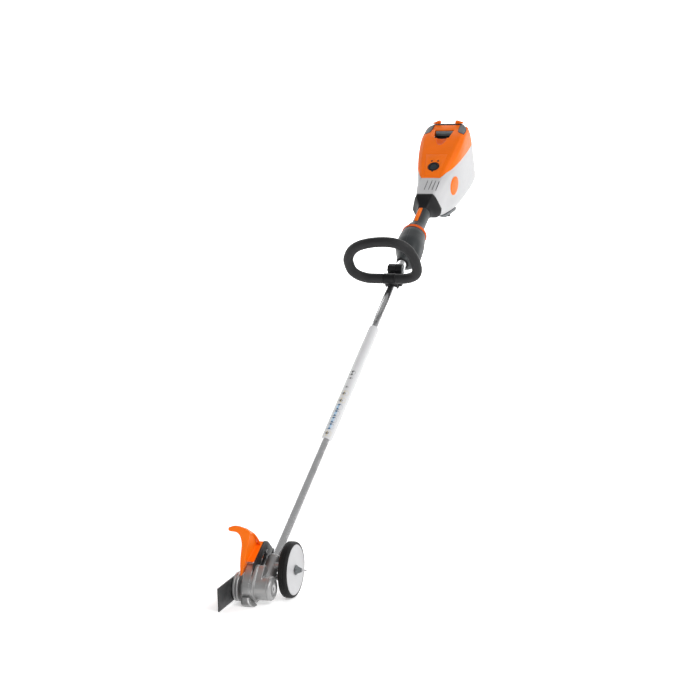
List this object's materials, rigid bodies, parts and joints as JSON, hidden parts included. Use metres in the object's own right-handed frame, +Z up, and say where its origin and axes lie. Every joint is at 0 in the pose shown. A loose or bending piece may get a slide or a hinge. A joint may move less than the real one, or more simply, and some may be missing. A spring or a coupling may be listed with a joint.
{
  "type": "battery stick edger",
  "caption": "Battery stick edger: straight shaft, bevel gear head with edging blade, guard, skid and depth wheel, loop handle and battery head.",
  "frame": {"origin": "middle of the skid shoe's flat sole, on the ground", "axes": "+X from the blade towards the depth wheel, +Y back along the ground towards the operator, +Z up"},
  "size_m": [0.2051, 1.7001, 1.0459],
  "materials": {
    "aluminium_tube": "drawn aluminium with fine lengthwise lines",
    "cast_aluminium": "die-cast, fine blasted grain",
    "bright_steel": "zinc-plated or turned steel",
    "dark_steel": "hardened blade steel and black-painted plate",
    "orange_plastic": "moulded, fine satin grain",
    "white_plastic": "moulded, fine satin grain",
    "charcoal_plastic": "moulded, grained",
    "black_plastic": "moulded, matte",
    "grey_plastic": "moulded, satin",
    "black_rubber": "soft rubber grip with a low sheen",
    "tyre_rubber": "solid rubber tyre",
    "copper_winding": "varnished copper winding"
  },
  "bodies": {
    "root": {"drive_tube": "aluminium_tube", "rod_bush_1": "black_plastic", "rod_bush_2": "black_plastic", "gear_housing": "cast_aluminium", "housing_cover": "cast_aluminium", "gear_cap": "cast_aluminium", "cap_bearing": "bright_steel", "output_bearing": "bright_steel", "pinion_bearing": "bright_steel", "ear_bolt": "bright_steel", "guard": "orange_plastic", "guard_bracket": "dark_steel", "guard_bolt": "bright_steel", "skid_shoe": "cast_aluminium", "skid_bolt": "bright_steel", "wheel_bracket": "dark_steel", "motor_shell_left": "charcoal_plastic", "motor_shell_right": "charcoal_plastic", "motor_ring": "orange_plastic", "motor_stator": "copper_winding", "grip_left": "charcoal_plastic", "grip_right": "charcoal_plastic", "trigger_switch": "black_plastic", "head_collar": "black_plastic", "body_left": "white_plastic", "body_right": "white_plastic", "hood": "orange_plastic", "control_panel": "orange_plastic", "control_board": "charcoal_plastic", "rear_foot": "grey_plastic"},
    "blade_set": {"output_shaft": "bright_steel", "bevel_gear": "bright_steel", "drive_flange": "cast_aluminium", "thrust_washer": "cast_aluminium", "blade": "dark_steel", "outer_washer": "bright_steel", "arbor_nut": "bright_steel"},
    "drive_line": {"drive_rod": "bright_steel", "pinion": "bright_steel", "rod_coupling": "bright_steel", "motor_rotor": "bright_steel", "motor_fan": "black_plastic"},
    "wheel_carriage": {"axle_bolt": "bright_steel"},
    "wheel": {"wheel_rim": "white_plastic", "wheel_tyre": "tyre_rubber"},
    "wheel_nut": {"wheel_nut": "grey_plastic"},
    "loop_handle": {"loop_grip": "black_rubber", "loop_core": "aluminium_tube", "clamp_upper": "black_plastic", "clamp_lower": "black_plastic", "clamp_bolt": "bright_steel"},
    "clamp_knob": {"clamp_knob": "black_plastic"},
    "trigger": {"trigger": "black_plastic"},
    "lockout_lever": {"lockout_lever": "orange_plastic"},
    "power_button": {"power_button": "black_plastic"},
    "battery": {"battery_case": "charcoal_plastic", "battery_cap": "orange_plastic", "battery_strip": "grey_plastic"},
    "latch_left": {"latch_left": "orange_plastic"},
    "latch_right": {"latch_right": "orange_plastic"}
  },
  "joints": [
    {"name": "blade_spin", "type": "hinge", "parent": "root", "child": "blade_set", "pos_m": [0.017, 0.0265, 0.033], "axis": [1, 0, 0], "continuous": true},
    {"name": "drive_spin", "type": "hinge", "parent": "root", "child": "drive_line", "pos_m": [0.017, 0.0265, 0.033], "axis": [0, 0.8526, 0.5225], "continuous": true},
    {"name": "wheel_height", "type": "slide", "parent": "root", "child": "wheel_carriage", "axis": [0, 0, 1], "range_m": [0, 0.025]},
    {"name": "wheel_spin", "type": "hinge", "parent": "wheel_carriage", "child": "wheel", "pos_m": [0.017, 0.0965, 0.06], "axis": [1, 0, 0], "continuous": true},
    {"name": "wheel_nut_turn", "type": "hinge", "parent": "wheel_carriage", "child": "wheel_nut", "pos_m": [0.017, 0.0965, 0.06], "axis": [1, 0, 0], "continuous": true},
    {"name": "handle_slide", "type": "slide", "parent": "root", "child": "loop_handle", "axis": [0, 0.8526, 0.5225], "range_m": [-0.18, 0.045]},
    {"name": "clamp_knob_turn", "type": "hinge", "parent": "loop_handle", "child": "clamp_knob", "pos_m": [0.017, 0.98191, 0.6519], "axis": [1, 0, 0], "continuous": true},
    {"name": "trigger_pull", "type": "hinge", "parent": "root", "child": "trigger", "pos_m": [0.017, 1.24575, 0.76491], "axis": [1, 0, 0], "range_deg": [-5, 0], "stiffness_Nm_per_rad": 0.3, "springref_deg": 5.73},
    {"name": "lockout_press", "type": "hinge", "parent": "root", "child": "lockout_lever", "pos_m": [0.017, 1.25059, 0.7972], "axis": [1, 0, 0], "range_deg": [0, 4], "stiffness_Nm_per_rad": 0.3, "springref_deg": -5.73},
    {"name": "power_press", "type": "slide", "parent": "root", "child": "power_button", "axis": [0, 0.7044, -0.7098], "range_m": [0, 0.0015], "stiffness_N_per_m": 500, "springref_m": -0.001},
    {"name": "battery_slide", "type": "slide", "parent": "root", "child": "battery", "axis": [0, 0.8526, 0.5225], "range_m": [0, 0.2]},
    {"name": "latch_left_press", "type": "slide", "parent": "battery", "child": "latch_left", "axis": [1, 0, 0], "range_m": [0, 0.004], "stiffness_N_per_m": 400, "springref_m": -0.001},
    {"name": "latch_right_press", "type": "slide", "parent": "battery", "child": "latch_right", "axis": [-1, 0, 0], "range_m": [0, 0.004], "stiffness_N_per_m": 400, "springref_m": -0.001}
  ],
  "couplings": [
    {"joint": "drive_spin", "follows": "blade_spin", "ratio": 2.2222}
  ]
}
